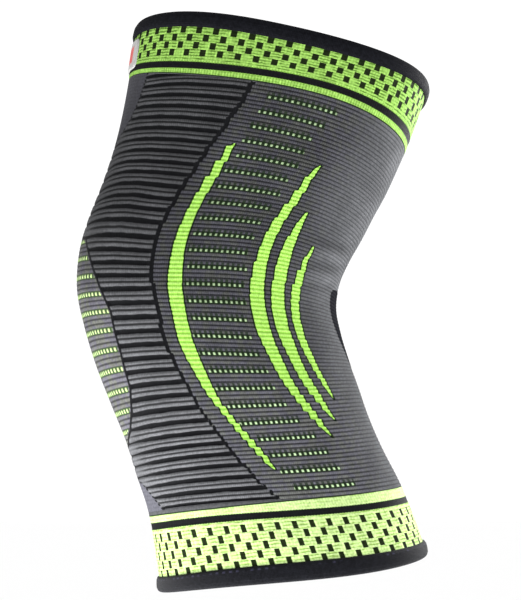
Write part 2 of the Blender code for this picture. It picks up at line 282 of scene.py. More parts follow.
# Depths and heights of the relief, in metres
RIB_DEPTH = 0.00032
KNEECAP_RIB_DEPTH = 0.6 * RIB_DEPTH
HOLLOW_RIB_DEPTH = 0.75 * RIB_DEPTH
WIDE_RIB_DEPTH = 0.0008
SEAM_DEPTH = 0.0004
SQUARE_DEPTH = 0.00022
STRIPE_DEPTH = 0.00015
TUCK_DEPTH = 0.0004
INSIDE_RIB_HEIGHT = 0.0001
HOLLOW_LAYER = 0.00012
FOLD_HEIGHT = 0.0003
# Soft folds beside the hollow of the knee: the turns and rows at which they start, are full, fade and end,
# and their spacing, first valley and rise for each turn, in rows
FOLD_TURNS = (126, 140, 150, 170)
FOLD_ROWS = (8.3, 9.3, 11.9, 12.9)
FOLD_PITCH = 1.7
FIRST_VALLEY = 9.1
FOLD_TILT = 0.018

# Points across each piece, and up it where the ribs don't set them
SIDE_COLUMNS = 234
FRONT_COLUMNS = 157
HOLLOW_GRID = (97, 61)
INSIDE_COLUMNS = 150
CUFF_GRID = (66, 720)
CUFF_INSIDE_STEP = 3  # the cuffs' inner faces use every third point
HEM_COLUMNS = 300
PATCH_GRID = (49, 97)

# The cuffs, in millimetres from the lower rim and in turns. "reach" is the whole cuff, "tuck" its edge under
# the tube, and "overlap" pairs turns with the end of the tube's last rib. The rows of squares are numbered
# from 0 at "first_line" to "last_line". "columns" pairs turns with the numbers of the columns, "slant" leans
# those, and "width" is half of a square's width in columns. "ticks" is how much the wales darken the knit,
# and "valley" is its darkest level.
# Both cuffs are the same green: the lower cuff's paler greens are painted light, and the upper cuff's darker
# greens are painted shade
LOWER_CUFF = {
    "base": (0.27, 0.42, 0.105), "light": (0.42, 0.56, 0.24), "ticks": 0.1, "valley": 0.84,
    "reach": (7.0, 36.5), "tuck": 36.5, "stripe": (28.5, 31.1),
    "first_line": 24.9, "line_step": -3.8, "last_line": 4, "slant": 0.045, "width": 0.15,
    "columns": ((0, -10), (40, -5), (48.6, -4), (57, -3), (65, -2), (72.6, -1), (102.4, 3), (117.6, 5),
                (126, 6), (143.8, 8), (151.8, 9), (180, 12.5)),
    "overlap": ((0, 34.4), (60, 34.3), (85, 35.1), (110, 35.9), (140, 36.2), (180, 36.2)),
}
# Darker greens than the lower cuff's: painted shade
UPPER_CUFF = {
    "base": (0.150, 0.310, 0.042), "light": (0.235, 0.410, 0.090), "ticks": 0.3, "valley": 0.46,
    "reach": (219.5, 245.4), "tuck": 219.5, "stripe": (223.4, 226.8),
    "first_line": 231.8, "line_step": 3.85, "last_line": 3, "slant": 0.0, "width": 0.175,
    "columns": ((0, -10.5), (76.2, 0), (180, 14.5)),
    "overlap": ((0, 220.0), (180, 220.0)),
}
# The hems: wales and stitches in turns, courses in millimetres
HEM_WALE = 0.6
HEM_COURSE = 0.75
HEM_STITCH_STEP = 3.1
# The patch, in millimetres
PATCH_HALF_WIDTH = 24.0
PATCH_HEIGHT = 15.5
PATCH_CORNER = 3.5
PATCH_THICKNESS = 0.8
PATCH_EDGE = 0.05
PATCH_BELOW_HEM = 1.2
PATCH_WALE = 1.3

# Colours (linear); a pair is mixed in soft spots
GREY = (0.064, 0.065, 0.069)
PALE_GREY = (0.074, 0.076, 0.081)
SIDE_GREYS = ((0.063, 0.063, 0.075), (0.068, 0.070, 0.067))
KNEECAP_GREYS = ((0.072, 0.070, 0.084), (0.080, 0.082, 0.074))
GUSSET_GREY = (0.052, 0.052, 0.062)
HOLLOW_GREY = (0.0140, 0.0140, 0.0165)
INSIDE_GREYS = ((0.100, 0.100, 0.108), (0.105, 0.120, 0.090))
DARK = (0.0052, 0.0054, 0.0062)
GREEN = (0.240, 0.500, 0.060)
# The paler green is a painted highlight on the crescents' rib crowns
PAINTED_HIGHLIGHT_GREEN = (0.360, 0.640, 0.130)
DEEP_GREEN = (0.0070, 0.0160, 0.0045)
DOT = (0.250, 0.340, 0.195)
KNEECAP_DOT = (0.46, 0.60, 0.26)
KNEECAP_GROUND = (0.035, 0.062, 0.022)
SQUARE_BLACK = (0.0085, 0.0140, 0.0040)
HEM_BLACK = (0.0050, 0.0052, 0.0070)
HEM_STITCH = (0.026, 0.025, 0.045)
PATCH_GREY = (0.36, 0.36, 0.35)
PATCH_RED = (0.50, 0.060, 0.055)
# Scales of the noise that mottles the knit and makes its levels drift, where a higher one is finer
MOTTLE = 900
DRIFT = 55
# Heights of the bumps in the materials, in metres
KNIT_BUMP = 0.00018
INSIDE_BUMP = 0.00015
CUFF_BUMP = 0.0002
HEM_BUMP = 0.00012
PATCH_BUMP = 0.0001

FLOOR_HEIGHT = -0.50
FLOOR_REACH = 12
FLOOR_COLOUR = (0.9, 0.9, 0.9, 1)
WORLD_COLOUR = (1, 1, 1, 1)
WORLD_STRENGTH = 1.1
CAMERA_PLACE = (0.02616, -0.7154, -0.0815)
CAMERA_TILT = 96.5  # degrees
CAMERA_LENS = 90  # millimetres
# Area lights: name, place, aim, size and power
LIGHTS = (
    ("right_light", (0.55, 0.0, 0.02), (0.04, 0, 0), 0.4, 2.4),
    ("right_rim_light", (0.42, 0.34, 0.10), (0.05, 0, 0.02), 0.3, 5.6),
    ("low_front_light", (-0.15, -0.20, -0.46), (-0.02, -0.05, -0.10), 0.25, 3.0),
    ("low_side_light", (0.05, -0.45, -0.42), (0.03, -0.05, -0.12), 0.3, 2.1),
    ("left_rim_light", (-0.30, 0.05, -0.46), (-0.03, 0, -0.12), 0.25, 6.0),
)


def along(edge, rows):
    """An edge's place around the leg, as a turn, at an array of rows."""
    numbers, angles = np.array(edge, float).T
    return np.interp(rows, numbers, turn_of(angles))


def smooth(values, start, end):
    """Goes smoothly from 0 at the start to 1 at the end, which may be below the start."""
    share = np.clip((values - start) / (end - start), 0, 1)
    return share * share * (3 - 2 * share)


def hump(values, start, full, fade, end):
    """Goes smoothly from 0 at the start to 1 when full, and from there, after it fades, to 0 at the end."""
    return smooth(values, start, full) * smooth(values, end, fade)


def rib_groove(rib):
    """1 in the thin groove between two fine ribs, and 0 over their crowns."""
    return 1 - np.abs(np.sin(np.pi * rib)) ** 0.7


def rib_height(rib):
    """The height of a rib of the tube, counted from its foot."""
    return TUBE_FOOT + (TUBE_HEAD - TUBE_FOOT) * rib / RIBS


def knit_share(distance):
    """A distance from the lower rim in millimetres, as a share of the knit length."""
    return distance / 1000 / KNIT_LENGTH


def around(round_turn):
    """Places once around the leg, from 0 to 360: angle, and turn from the front on either side."""
    turn = np.minimum(round_turn, 360 - round_turn)
    return np.where(round_turn > 180, 360 - angle_of(turn), angle_of(turn)), turn


def even_turns(count):
    """A row of evenly spaced places once around the leg, from the front."""
    return around(np.arange(count)[None, :] * 360 / count)


def add_skin(name, points, places, material, closed=False, inward=False):
    """A sheet of quads over a grid of points (rows, columns), which carries values for its material."""
    rows, columns = points.shape[:2]
    index = np.arange(rows * columns).reshape(rows, columns)
    if closed:
        index = np.concatenate((index, index[:, :1]), axis=1)
    corners = (index[:-1, :-1], index[:-1, 1:], index[1:, 1:], index[1:, :-1])
    quads = np.stack(corners, axis=-1).reshape(-1, 4)
    if inward:
        quads = quads[:, ::-1]
    mesh = bpy.data.meshes.new(name)
    mesh.from_pydata(points.reshape(-1, 3).tolist(), [], quads.tolist())
    for place, values in places.items():
        attribute = mesh.attributes.new(place, "FLOAT", "POINT")
        values = np.broadcast_to(values, (rows, columns)).astype(np.float32)
        attribute.data.foreach_set("value", values.ravel())
    mesh.shade_smooth()
    mesh.materials.append(material)
    piece = bpy.data.objects.new(name, mesh)
    bpy.context.scene.collection.objects.link(piece)
    return piece


def hand_over(piece, node):
    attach(piece, "root")
    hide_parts(node)


class Yarn:
    """A fabric material: each call adds nodes to its tree and gives back the last one's output."""

    def __init__(self, name, roughness, sheen=0.0, specular=0.04):
        self.material = bpy.data.materials.new(name)
        self.material.use_nodes = True
        self.tree = self.material.node_tree
        self.shader = self.tree.nodes["Principled BSDF"]
        self.shader.inputs["Roughness"].default_value = roughness
        self.shader.inputs["Sheen Weight"].default_value = sheen
        self.shader.inputs["Sheen Roughness"].default_value = 0.5
        self.shader.inputs["Specular IOR Level"].default_value = specular

    def feed(self, socket, value):
        if isinstance(value, bpy.types.NodeSocket):
            self.tree.links.new(value, socket)
        elif isinstance(value, tuple):
            socket.default_value = (*value, 1)
        else:
            socket.default_value = value

    def places(self, *names):
        """The values of these names that the mesh carries at its points."""
        outputs = []
        for name in names:
            node = self.tree.nodes.new("ShaderNodeAttribute")
            node.attribute_name = name
            outputs.append(node.outputs["Fac"])
        return outputs

    def math(self, operation, *values):
        node = self.tree.nodes.new("ShaderNodeMath")
        node.operation = operation
        for socket, value in zip(node.inputs, values):
            self.feed(socket, value)
        return node.outputs[0]

    def plus(self, first, second):
        return self.math("ADD", first, second)

    def minus(self, first, second):
        return self.math("SUBTRACT", first, second)

    def times(self, *values):
        total = values[0]
        for value in values[1:]:
            total = self.math("MULTIPLY", total, value)
        return total

    def off(self, value, aim):
        """How far a value is from another one, on either side."""
        return self.math("ABSOLUTE", self.minus(value, aim))

    def off_middle(self, value):
        """How far a value is from the middle between two whole numbers: 0 to 0.5."""
        return self.off(self.math("FRACT", value), 0.5)

    def off_whole(self, value):
        """How far a value is from the nearest whole number: 0 to 0.5."""
        return self.minus(0.5, self.off_middle(value))

    def ramp(self, value, start, end, low=0.0, high=1.0):
        """Goes smoothly from low to high while the value goes from start to end."""
        node = self.tree.nodes.new("ShaderNodeMapRange")
        node.interpolation_type = "SMOOTHSTEP"
        for socket, given in zip(node.inputs, (value, start, end, low, high)):
            self.feed(socket, given)
        return node.outputs[0]

    def level(self, share, low, high):
        """Goes smoothly from low to high while a share goes from 0 to 1."""
        return self.ramp(share, 0.0, 1.0, low, high)

    def noise(self, scale, detail=2.0):
        node = self.tree.nodes.new("ShaderNodeTexNoise")
        place = self.tree.nodes.new("ShaderNodeTexCoord")
        self.tree.links.new(place.outputs["Object"], node.inputs["Vector"])
        node.inputs["Scale"].default_value = scale
        node.inputs["Detail"].default_value = detail
        return node.outputs["Fac"]

    def mottle(self, scale, low, high, spread=0.2):
        """Wanders from low to high from place to place, with sharper spots for a smaller spread."""
        return self.ramp(self.noise(scale), 0.5 - spread, 0.5 + spread, low, high)

    def blend(self, kind, share, first, second):
        node = self.tree.nodes.new("ShaderNodeMix")
        node.data_type = "RGBA"
        node.blend_type = kind
        for socket, value in zip((node.inputs[0], node.inputs[6], node.inputs[7]), (share, first, second)):
            self.feed(socket, value)
        return node.outputs[2]

    def mix(self, first, second, share):
        return self.blend("MIX", share, first, second)

    def shade(self, colour, level):
        """A colour times a grey level."""
        return self.blend("MULTIPLY", 1.0, colour, level)

    def finish(self, colour, relief, distance, fibres=2600, share=0.4):
        """Ends the material with a colour and a relief, which gets fine fibres on it."""
        self.feed(self.shader.inputs["Base Color"], colour)
        bump = self.tree.nodes.new("ShaderNodeBump")
        bump.inputs["Strength"].default_value = 1
        bump.inputs["Distance"].default_value = distance
        self.feed(bump.inputs["Height"], self.plus(relief, self.times(self.noise(fibres), share)))
        self.tree.links.new(bump.outputs[0], self.shader.inputs["Normal"])
        return self.material


def stitches(yarn, turn, rib):
    """The level of the knit's small loops: a wale of slanted stitches in each rib."""
    slant = yarn.times(yarn.off_middle(rib), 0.8)
    loop = yarn.off_middle(yarn.plus(yarn.times(turn, 1 / WALE), slant))
    return yarn.ramp(loop, 0.0, 0.42, 1.0, 0.0)


def side_material():
    """The tube's sides: fine ribs, rows of pale dots, green crescents and the dark seam in front of them."""
    yarn = Yarn("side_knit", roughness=0.85)
    turn, row, rib, plain, folds = yarn.places("turn", "row", "rib", "plain", "folds")
    loops = stitches(yarn, turn, rib)
    off_rib = yarn.off_middle(rib)
    crown = yarn.ramp(off_rib, 0.49, 0.1)
    mottle = yarn.mottle(MOTTLE, 0.82, 1.15)
    drift = yarn.mottle(DRIFT, 0.9, 1.1, 0.15)
    level = yarn.times(yarn.level(crown, 0.26, 1.0), yarn.level(loops, 0.78, 1.08), mottle, drift)
    grey = yarn.mix(*SIDE_GREYS, yarn.ramp(yarn.noise(320, 1.0), 0.42, 0.62))
    # Painted light: the knit gets lighter towards the lower rows
    painted_light_by_row = yarn.ramp(row, 11.0, 23.0, 0.92, 1.6)
    colour = yarn.shade(grey, yarn.times(level, painted_light_by_row))
    # The plainer knit behind the crescents, with painted shade in its grooves, painted light and shade on its
    # folds, and painted shade on its lower rows
    # Painted shade: the grooves of the plainer knit are darker than its crowns
    fine = yarn.ramp(off_rib, 0.5, 0.2, 0.32, 1.0)
    painted_groove_shade = yarn.ramp(fine, 0.32, 1.0, 0.5, 1.0)
    # Painted light and shade on the folds: lighter on their ridges, darker in their valleys
    folded = yarn.ramp(folds, -1.2, 1.2, 0.72, 1.32)
    # Painted shade: the plainer knit gets darker from row 12 down to row 18
    painted_shade_lower_rows = yarn.ramp(row, 12.0, 18.0, 1.06, 0.78)
    pale = yarn.shade(PALE_GREY, yarn.times(painted_groove_shade, mottle, drift, folded, painted_shade_lower_rows))
    colour = yarn.mix(colour, pale, plain)
    # Rows of pale dots on dark green, with dark ticks above each row, between its dots
    dots, dot_row = yarn.places("dots", "dot_row")
    in_row = yarn.ramp(dot_row, -0.5, 0.1)
    off_row = yarn.off_whole(row)
    ground = yarn.times(in_row, yarn.ramp(off_row, 0.15, 0.1), 0.95)
    colour = yarn.mix(colour, DEEP_GREEN, ground)
    off_ticks = yarn.off_middle(yarn.plus(row, 0.72))
    between = yarn.ramp(yarn.off_middle(yarn.plus(dots, 0.5)), 0.32, 0.22)
    ticks = yarn.times(in_row, between, yarn.ramp(off_ticks, 0.11, 0.07), 0.75)
    colour = yarn.mix(colour, DEEP_GREEN, ticks)
    dot = yarn.times(in_row, yarn.ramp(yarn.off_middle(dots), 0.29, 0.12), yarn.ramp(off_row, 0.1, 0.045))
    # The dots get the same painted light towards the lower rows
    dot_level = yarn.times(painted_light_by_row, yarn.mottle(230, 0.8, 1.2, 0.15))
    colour = yarn.mix(colour, yarn.shade(DOT, dot_level), dot)
    # Green crescents, each with a dark outline
    crescent, seam = yarn.places("crescent", "seam")
    crescent = yarn.plus(crescent, yarn.times(crown, 0.1))
    outline = yarn.ramp(crescent, -0.65, -0.25)
    colour = yarn.mix(colour, yarn.shade(DEEP_GREEN, level), outline)
    # Painted highlight and shade: paler green on the rib crowns, darker green in the grooves
    painted_groove_shade = yarn.times(yarn.ramp(off_rib, 0.5, 0.2, 0.84, 1.0), yarn.level(loops, 0.86, 1.05))
    green = yarn.mix(GREEN, PAINTED_HIGHLIGHT_GREEN, yarn.ramp(crown, 0.3, 1.0))
    bright = yarn.shade(green, yarn.times(painted_groove_shade, mottle))
    colour = yarn.mix(colour, bright, yarn.ramp(crescent, 0.12, 0.32))
    seam = yarn.ramp(yarn.plus(seam, yarn.times(crown, 0.25)), 0.15, -0.1)
    colour = yarn.mix(colour, yarn.shade(DARK, mottle), seam)
    relief = yarn.plus(yarn.times(loops, 0.5), yarn.times(dot, 0.8))
    return yarn.finish(colour, relief, KNIT_BUMP)


def front_material():
    """The tube's front: wide ribs in pairs, two plain gussets and the dotted kneecap panel."""
    yarn = Yarn("front_knit", roughness=0.85, sheen=0.02)
    turn, row, rib, groove = yarn.places("turn", "row", "rib", "groove")
    loops = stitches(yarn, turn, rib)
    mottle = yarn.mottle(MOTTLE, 0.82, 1.15)
    drift = yarn.mottle(DRIFT, 0.9, 1.1, 0.15)
    # Painted light: the knit gets lighter towards the lower rows, and this level carries it to every panel of
    # the front
    painted_light_by_row = yarn.ramp(row, 4.0, 21.0, 0.72, 1.6)
    knit_and_painted_light = yarn.times(yarn.level(loops, 0.8, 1.08), mottle, drift, painted_light_by_row)
    # Wide ribs in pairs, with a dark groove after each pair and a thin line inside it
    groove_width, split = yarn.places("groove_width", "split")
    from_groove = yarn.off_whole(yarn.plus(groove, yarn.mottle(110, -0.012, 0.012)))
    dark_width = yarn.times(groove_width, yarn.mottle(140, 0.9, 1.12, 0.15))
    rib_level = yarn.ramp(yarn.minus(from_groove, dark_width), -0.03, 0.03)
    from_split = yarn.minus(0.5, from_groove)
    split_level = yarn.minus(1.0, yarn.times(yarn.ramp(from_split, 0.12, 0.04), split))
    # Painted highlight and shade: each wide rib lighter along its middle and darker at its edges
    painted_rib_shading = yarn.ramp(yarn.off(from_groove, 0.32), 0.04, 0.2, 1.12, 0.66)
    wide = yarn.shade(GREY, yarn.times(yarn.level(split_level, 0.3, 1.0), painted_rib_shading, knit_and_painted_light))
    wide = yarn.mix(yarn.shade(DARK, mottle), wide, rib_level)
    # The kneecap panel with fine ribs, and the smoother gussets
    kneecap, gusset = yarn.places("kneecap", "gusset")
    off_rib = yarn.off_middle(rib)
    crown = yarn.ramp(off_rib, 0.48, 0.12)
    grey = yarn.mix(*KNEECAP_GREYS, yarn.ramp(yarn.noise(240, 1.0), 0.42, 0.6))
    plain = yarn.shade(grey, yarn.times(yarn.level(crown, 0.3, 1.0), knit_and_painted_light))
    smooth_knit = yarn.shade(GUSSET_GREY, yarn.times(yarn.level(crown, 0.86, 1.0), knit_and_painted_light))
    plain = yarn.mix(plain, smooth_knit, yarn.ramp(gusset, -0.5, 0.0))
    inside = yarn.math("MAXIMUM", yarn.ramp(kneecap, -0.2, 0.1), yarn.ramp(gusset, -0.2, 0.1))
    colour = yarn.mix(wide, plain, inside)
    # Pale dots in rows over the kneecap
    knee_row, seam = yarn.places("knee_row", "seam")
    off_row = yarn.off_whole(knee_row)
    in_panel = yarn.ramp(kneecap, 0.8, 1.3)
    ground = yarn.times(in_panel, yarn.ramp(off_row, 0.2, 0.1), 0.9)
    colour = yarn.mix(colour, KNEECAP_GROUND, ground)
    off_dot = yarn.off_middle(yarn.times(turn, 1 / KNEECAP_DOT_STEP))
    dot = yarn.times(in_panel, yarn.ramp(off_dot, 0.32, 0.1), yarn.ramp(off_row, 0.13, 0.05))
    colour = yarn.mix(colour, KNEECAP_DOT, dot)
    # Dark outlines: solid round the kneecap, dashed round the gussets
    edge = yarn.ramp(yarn.off(kneecap, -0.35), 0.85, 0.5)
    dashes = yarn.times(yarn.ramp(yarn.off(gusset, 0.0), 0.75, 0.5), yarn.ramp(off_rib, 0.3, 0.2))
    colour = yarn.mix(colour, DARK, yarn.math("MAXIMUM", edge, dashes))
    colour = yarn.mix(colour, yarn.shade(DARK, mottle), yarn.ramp(seam, 0.15, -0.1))
    relief = yarn.plus(yarn.times(loops, 0.5), yarn.times(dot, 0.8))
    return yarn.finish(colour, relief, KNIT_BUMP)


def hollow_material():
    """The dark, matt knit of the patch in the hollow of the knee."""
    yarn = Yarn("hollow_knit", roughness=1.0, specular=0.0)
    turn, rib = yarn.places("turn", "rib")
    loops = stitches(yarn, turn, rib)
    crown = yarn.ramp(yarn.off_middle(rib), 0.5, 0.2)
    mottle = yarn.mottle(MOTTLE, 0.8, 1.2)
    level = yarn.times(yarn.level(crown, 0.6, 1.1), yarn.level(loops, 0.85, 1.1), mottle)
    return yarn.finish(yarn.shade(HOLLOW_GREY, level), yarn.times(loops, 0.5), KNIT_BUMP)


def inside_material():
    """The plain inner face of the tube, with its loops lying along the ribs."""
    yarn = Yarn("inner_knit", roughness=0.9)
    turn, rib = yarn.places("turn", "rib")
    loops = stitches(yarn, turn, rib)
    crown = yarn.ramp(yarn.off_middle(rib), 0.5, 0.15, 0.45, 1.0)
    level = yarn.times(crown, yarn.level(loops, 0.8, 1.05), yarn.mottle(MOTTLE, 0.8, 1.15))
    grey = yarn.mix(*INSIDE_GREYS, yarn.ramp(yarn.noise(160), 0.45, 0.65))
    return yarn.finish(yarn.shade(grey, level), loops, INSIDE_BUMP)


def cuff_material(name, cuff):
    """The green cuff: a black stripe beside the tube, and rows of small black squares."""
    yarn = Yarn(name, roughness=0.8)
    column, line, stripe, rows, overlap = yarn.places("column", "line", "stripe", "rows", "overlap")
    # Wales, with uneven steps of knit across them
    ridge = yarn.ramp(yarn.off_middle(yarn.times(column, 6.0)), 0.5, 0.1)
    uneven = yarn.plus(yarn.times(line, 2.5), yarn.mottle(420, -0.11, 0.11))
    step = yarn.ramp(yarn.off_middle(uneven), 0.5, 0.14)
    gaps = yarn.mottle(260, 0.25, 1.0, 0.12)
    step = yarn.minus(1.0, yarn.times(yarn.minus(1.0, step), gaps))
    margin = yarn.times(yarn.level(ridge, 1.0 - cuff["ticks"], 1.0), yarn.level(step, 0.7, 1.0))
    weave = yarn.mix(margin, step, yarn.ramp(line, -1.05, -0.95))
    mottle = yarn.mottle(MOTTLE, 0.8, 1.18)
    drift = yarn.mottle(60, 0.92, 1.08, 0.15)
    level = yarn.times(yarn.level(weave, cuff["valley"], 1.12), yarn.level(ridge, 0.9, 1.03), mottle, drift)
    green = yarn.mix(cuff["base"], cuff["light"], yarn.ramp(weave, 0.5, 1.0, 0.0, 0.8))
    colour = yarn.shade(green, level)
    # Squares, which every second row shifts by half a column, with paler knit around them
    number = yarn.math("ROUND", line)
    odd = yarn.math("MODULO", yarn.math("ABSOLUTE", number), 2.0)
    off_column = yarn.off_whole(yarn.plus(column, yarn.times(odd, 0.5)))
    in_rows = yarn.times(yarn.ramp(line, -0.52, -0.48), rows)
    ladder = yarn.times(in_rows, yarn.ramp(off_column, 0.27, 0.22), 0.5)
    colour = yarn.mix(colour, yarn.shade(cuff["light"], yarn.times(level, 1.15)), ladder)
    in_column = yarn.ramp(off_column, cuff["width"] + 0.02, cuff["width"] - 0.02)
    square = yarn.times(in_rows, in_column, yarn.ramp(yarn.off(line, number), 0.475, 0.43))
    edged = yarn.plus(stripe, yarn.times(ridge, 0.18))
    colour = yarn.mix(colour, yarn.shade(DEEP_GREEN, mottle), yarn.ramp(edged, -0.3, 0.05))
    colour = yarn.mix(colour, yarn.shade(DARK, mottle), yarn.ramp(edged, 0.1, 0.4))
    colour = yarn.mix(colour, yarn.shade(SQUARE_BLACK, mottle), square)
    # The tube's last rib, which overlaps the cuff's edge
    colour = yarn.mix(colour, DEEP_GREEN, yarn.ramp(overlap, -0.5, -0.2))
    colour = yarn.mix(colour, yarn.shade(GREY, mottle), yarn.ramp(overlap, 0.0, 0.4))
    return yarn.finish(colour, yarn.times(weave, 0.8), CUFF_BUMP)


def hem_material(name, seam_at, stitched, sheen):
    """A black folded edge: fine upright loops, and on some a row of paler stitches beside the cuff."""
    yarn = Yarn(name, roughness=0.85, sheen=sheen)
    turn, from_rim = yarn.places("turn", "from_rim")
    ridge = yarn.ramp(yarn.off_middle(yarn.times(turn, 1 / HEM_WALE)), 0.5, 0.1)
    course = yarn.ramp(yarn.off_middle(yarn.times(from_rim, 1 / HEM_COURSE)), 0.5, 0.1)
    level = yarn.times(yarn.mottle(700, 0.75, 1.3), yarn.level(ridge, 0.8, 1.15))
    row = yarn.ramp(yarn.off(from_rim, seam_at), 0.65, 0.2)
    dash = yarn.ramp(yarn.off_middle(yarn.times(turn, 1 / HEM_STITCH_STEP)), 0.30, 0.12)
    faint = yarn.ramp(yarn.noise(130), 0.42, 0.6)
    stitch = yarn.times(row, dash, faint, stitched)
    colour = yarn.mix(yarn.shade(HEM_BLACK, level), HEM_STITCH, stitch)
    relief = yarn.plus(yarn.times(ridge, 0.6), yarn.times(course, 0.4))
    return yarn.finish(colour, relief, HEM_BUMP, fibres=2200)


def patch_material():
    """A soft grey transfer patch with a plain red field, which lets the knit's wales show through."""
    yarn = Yarn("patch_print", roughness=0.5)
    across, down = yarn.places("across", "down")
    wales = yarn.ramp(yarn.off_middle(yarn.times(across, 1 / PATCH_WALE)), 0.5, 0.1)
    level = yarn.times(yarn.mottle(700, 0.92, 1.06), yarn.level(wales, 0.93, 1.03))
    in_width = yarn.ramp(yarn.off(across, 0.0), 20.0, 17.5)
    in_height = yarn.ramp(yarn.off(down, 0.0), 5.2, 3.4)
    colour = yarn.mix(PATCH_GREY, PATCH_RED, yarn.times(in_width, in_height, 0.9))
    return yarn.finish(yarn.shade(colour, level), wales, PATCH_BUMP, fibres=1500, share=0.5)


def panel_reach(edge, row, turn):
    """About how far inside a panel's edge a place is, in millimetres, and below zero outside it."""
    edge_turn = along(edge, row)
    slope = np.gradient(edge_turn[:, 0], row[:, 0])[:, None]
    beyond = np.maximum(np.maximum(edge[0][0] - row, row - edge[-1][0]), 0) * ROW_HEIGHT
    return (edge_turn - turn) / np.sqrt(1 + (slope / ROW_HEIGHT) ** 2) - beyond


def stepped(turns, size):
    """An edge that follows the wales and jumps from one place to the next."""
    return np.round(turns / size) * size


def knee_folds(row, turn):
    """Soft folds across the knit beside the hollow of the knee: 1 on a ridge and -1 in a valley."""
    wave = row + FOLD_TILT * (turn - FOLD_TURNS[1])
    reach = hump(turn, *FOLD_TURNS) * hump(wave, *FOLD_ROWS)
    return -np.cos(2 * np.pi * (wave - FIRST_VALLEY) / FOLD_PITCH) * reach


def tube_rows():
    """The tube's rows of points: height, knit row number and rib number, each as a column."""
    rib = np.arange(STEPS_A_RIB * RIBS + 1)[:, None] / STEPS_A_RIB
    return rib_height(rib), LAST_ROW - rib / RIBS_A_ROW, rib


def seam_band(row, turn):
    """How far a place is outside the black seam, which moves sideways from wale to wale."""
    middle = stepped(along(SIDE_SEAM, np.floor(row * 3) / 3 + 0.17), WALE)
    half_width = SEAM_HALF_WIDTH + SEAM_WIDENING * smooth(row, 21, 15)
    return np.abs(turn - middle) - half_width


def seam_groove(from_seam):
    """How deep the knit lies beside the seam, where the front and the sides meet."""
    return SEAM_DEPTH * (1 - smooth(from_seam, *SEAM_SLOPE))


def dot_places(row, turn):
    """The number of a dot in its row, and how far inside the rows of dots a place is, in turns."""
    number = np.round(row)
    dots = (turn - DOTS_MIDDLE) / np.interp(number, *zip(*DOT_SPACING)) + 0.5
    reach = np.minimum(turn - along(DOTS_START, number), along(DOTS_END, number) - turn)
    beyond = (number < DOTS_START[0][0]) | (number > DOTS_START[-1][0])
    return dots, np.where(beyond, OUTSIDE, reach)


def crescent_reach(row, turn):
    """How far inside a green crescent a place is, in turns. Its edges are stepped, but not at narrow tips."""
    step_row = np.where(row < STEPS_DOUBLE_AT, np.floor(row + 0.5), np.floor(row * 2) / 2 + 0.25)
    step_row = 0.9 * step_row + 0.1 * row
    nearest = np.full(turn.shape, OUTSIDE)
    for edges in CRESCENTS:
        front, back = (stepped(along(edge, step_row), WALE / 4) for edge in edges)
        even_front, even_back = (along(edge, row) for edge in edges)
        tip = back - front < TIP_WIDTH
        front = np.where(tip, even_front, front)
        back = np.where(tip, even_back, back)
        used = (row >= edges[0][0][0]) & (row <= edges[0][-1][0])
        reach = np.where(used, np.minimum(turn - front, back - turn), OUTSIDE)
        nearest = np.maximum(nearest, reach)
    return nearest


def add_sides():
    height, row, rib = tube_rows()
    seam = along(SIDE_SEAM, row)
    angle, turn = around(seam + (360 - 2 * seam) * np.linspace(0, 1, SIDE_COLUMNS)[None, :])
    dots, dot_row = dot_places(row, turn)
    plain_edge = along(PLAIN_EDGE, row)
    plain = smooth(turn - plain_edge, *PLAIN_FADE)
    folds = knee_folds(row, turn)
    from_seam = turn - seam
    ribs = rib_groove(rib) * (1 - 0.25 * plain) * smooth(from_seam, *RIBS_START)
    depth = RIB_DEPTH * ribs + seam_groove(from_seam) - FOLD_HEIGHT * folds
    places = {
        "turn": turn, "row": row, "rib": rib, "plain": plain, "folds": folds, "dots": dots,
        "dot_row": dot_row, "crescent": crescent_reach(row, turn), "seam": seam_band(row, turn),
    }
    piece = add_skin("tube_sides", wall(angle, height, depth), places, side_material())
    hand_over(piece, "knit_tube")


def add_hollow():
    """The dark patch in the hollow of the knee, a thin knit layer over the tube's own."""
    row = np.linspace(HOLLOW_EDGE[0][0], HOLLOW_EDGE[-1][0], HOLLOW_GRID[0])[:, None]
    rib = (LAST_ROW - row) * RIBS_A_ROW
    edge = along(HOLLOW_EDGE, row)
    angle, turn = around(edge + (360 - 2 * edge) * np.linspace(0, 1, HOLLOW_GRID[1])[None, :])
    depth = HOLLOW_RIB_DEPTH * rib_groove(rib) - FOLD_HEIGHT * knee_folds(row, turn) - HOLLOW_LAYER
    piece = add_skin("hollow_patch", wall(angle, rib_height(rib), depth), {"turn": turn, "rib": rib},
                     hollow_material(), inward=True)
    hand_over(piece, "knit_tube")


def groove_number(height, angle):
    """The number of the groove between the wide ribs at a place, with a fraction between two grooves."""
    distance = height * KNIT_LENGTH * 1000
    lean = sum(np.interp(distance, LEAN_HEIGHTS, lifts) * np.interp(np.abs(angle), LEAN_ANGLES, near)
               for lifts, near in zip(LEAN, np.eye(len(LEAN))))
    tube_share = (height - TUBE_FOOT) / (TUBE_HEAD - TUBE_FOOT)
    tube_length = (TUBE_HEAD - TUBE_FOOT) * KNIT_LENGTH * 1000
    return np.interp(tube_share - lean / tube_length, GROOVES, np.arange(len(GROOVES)))


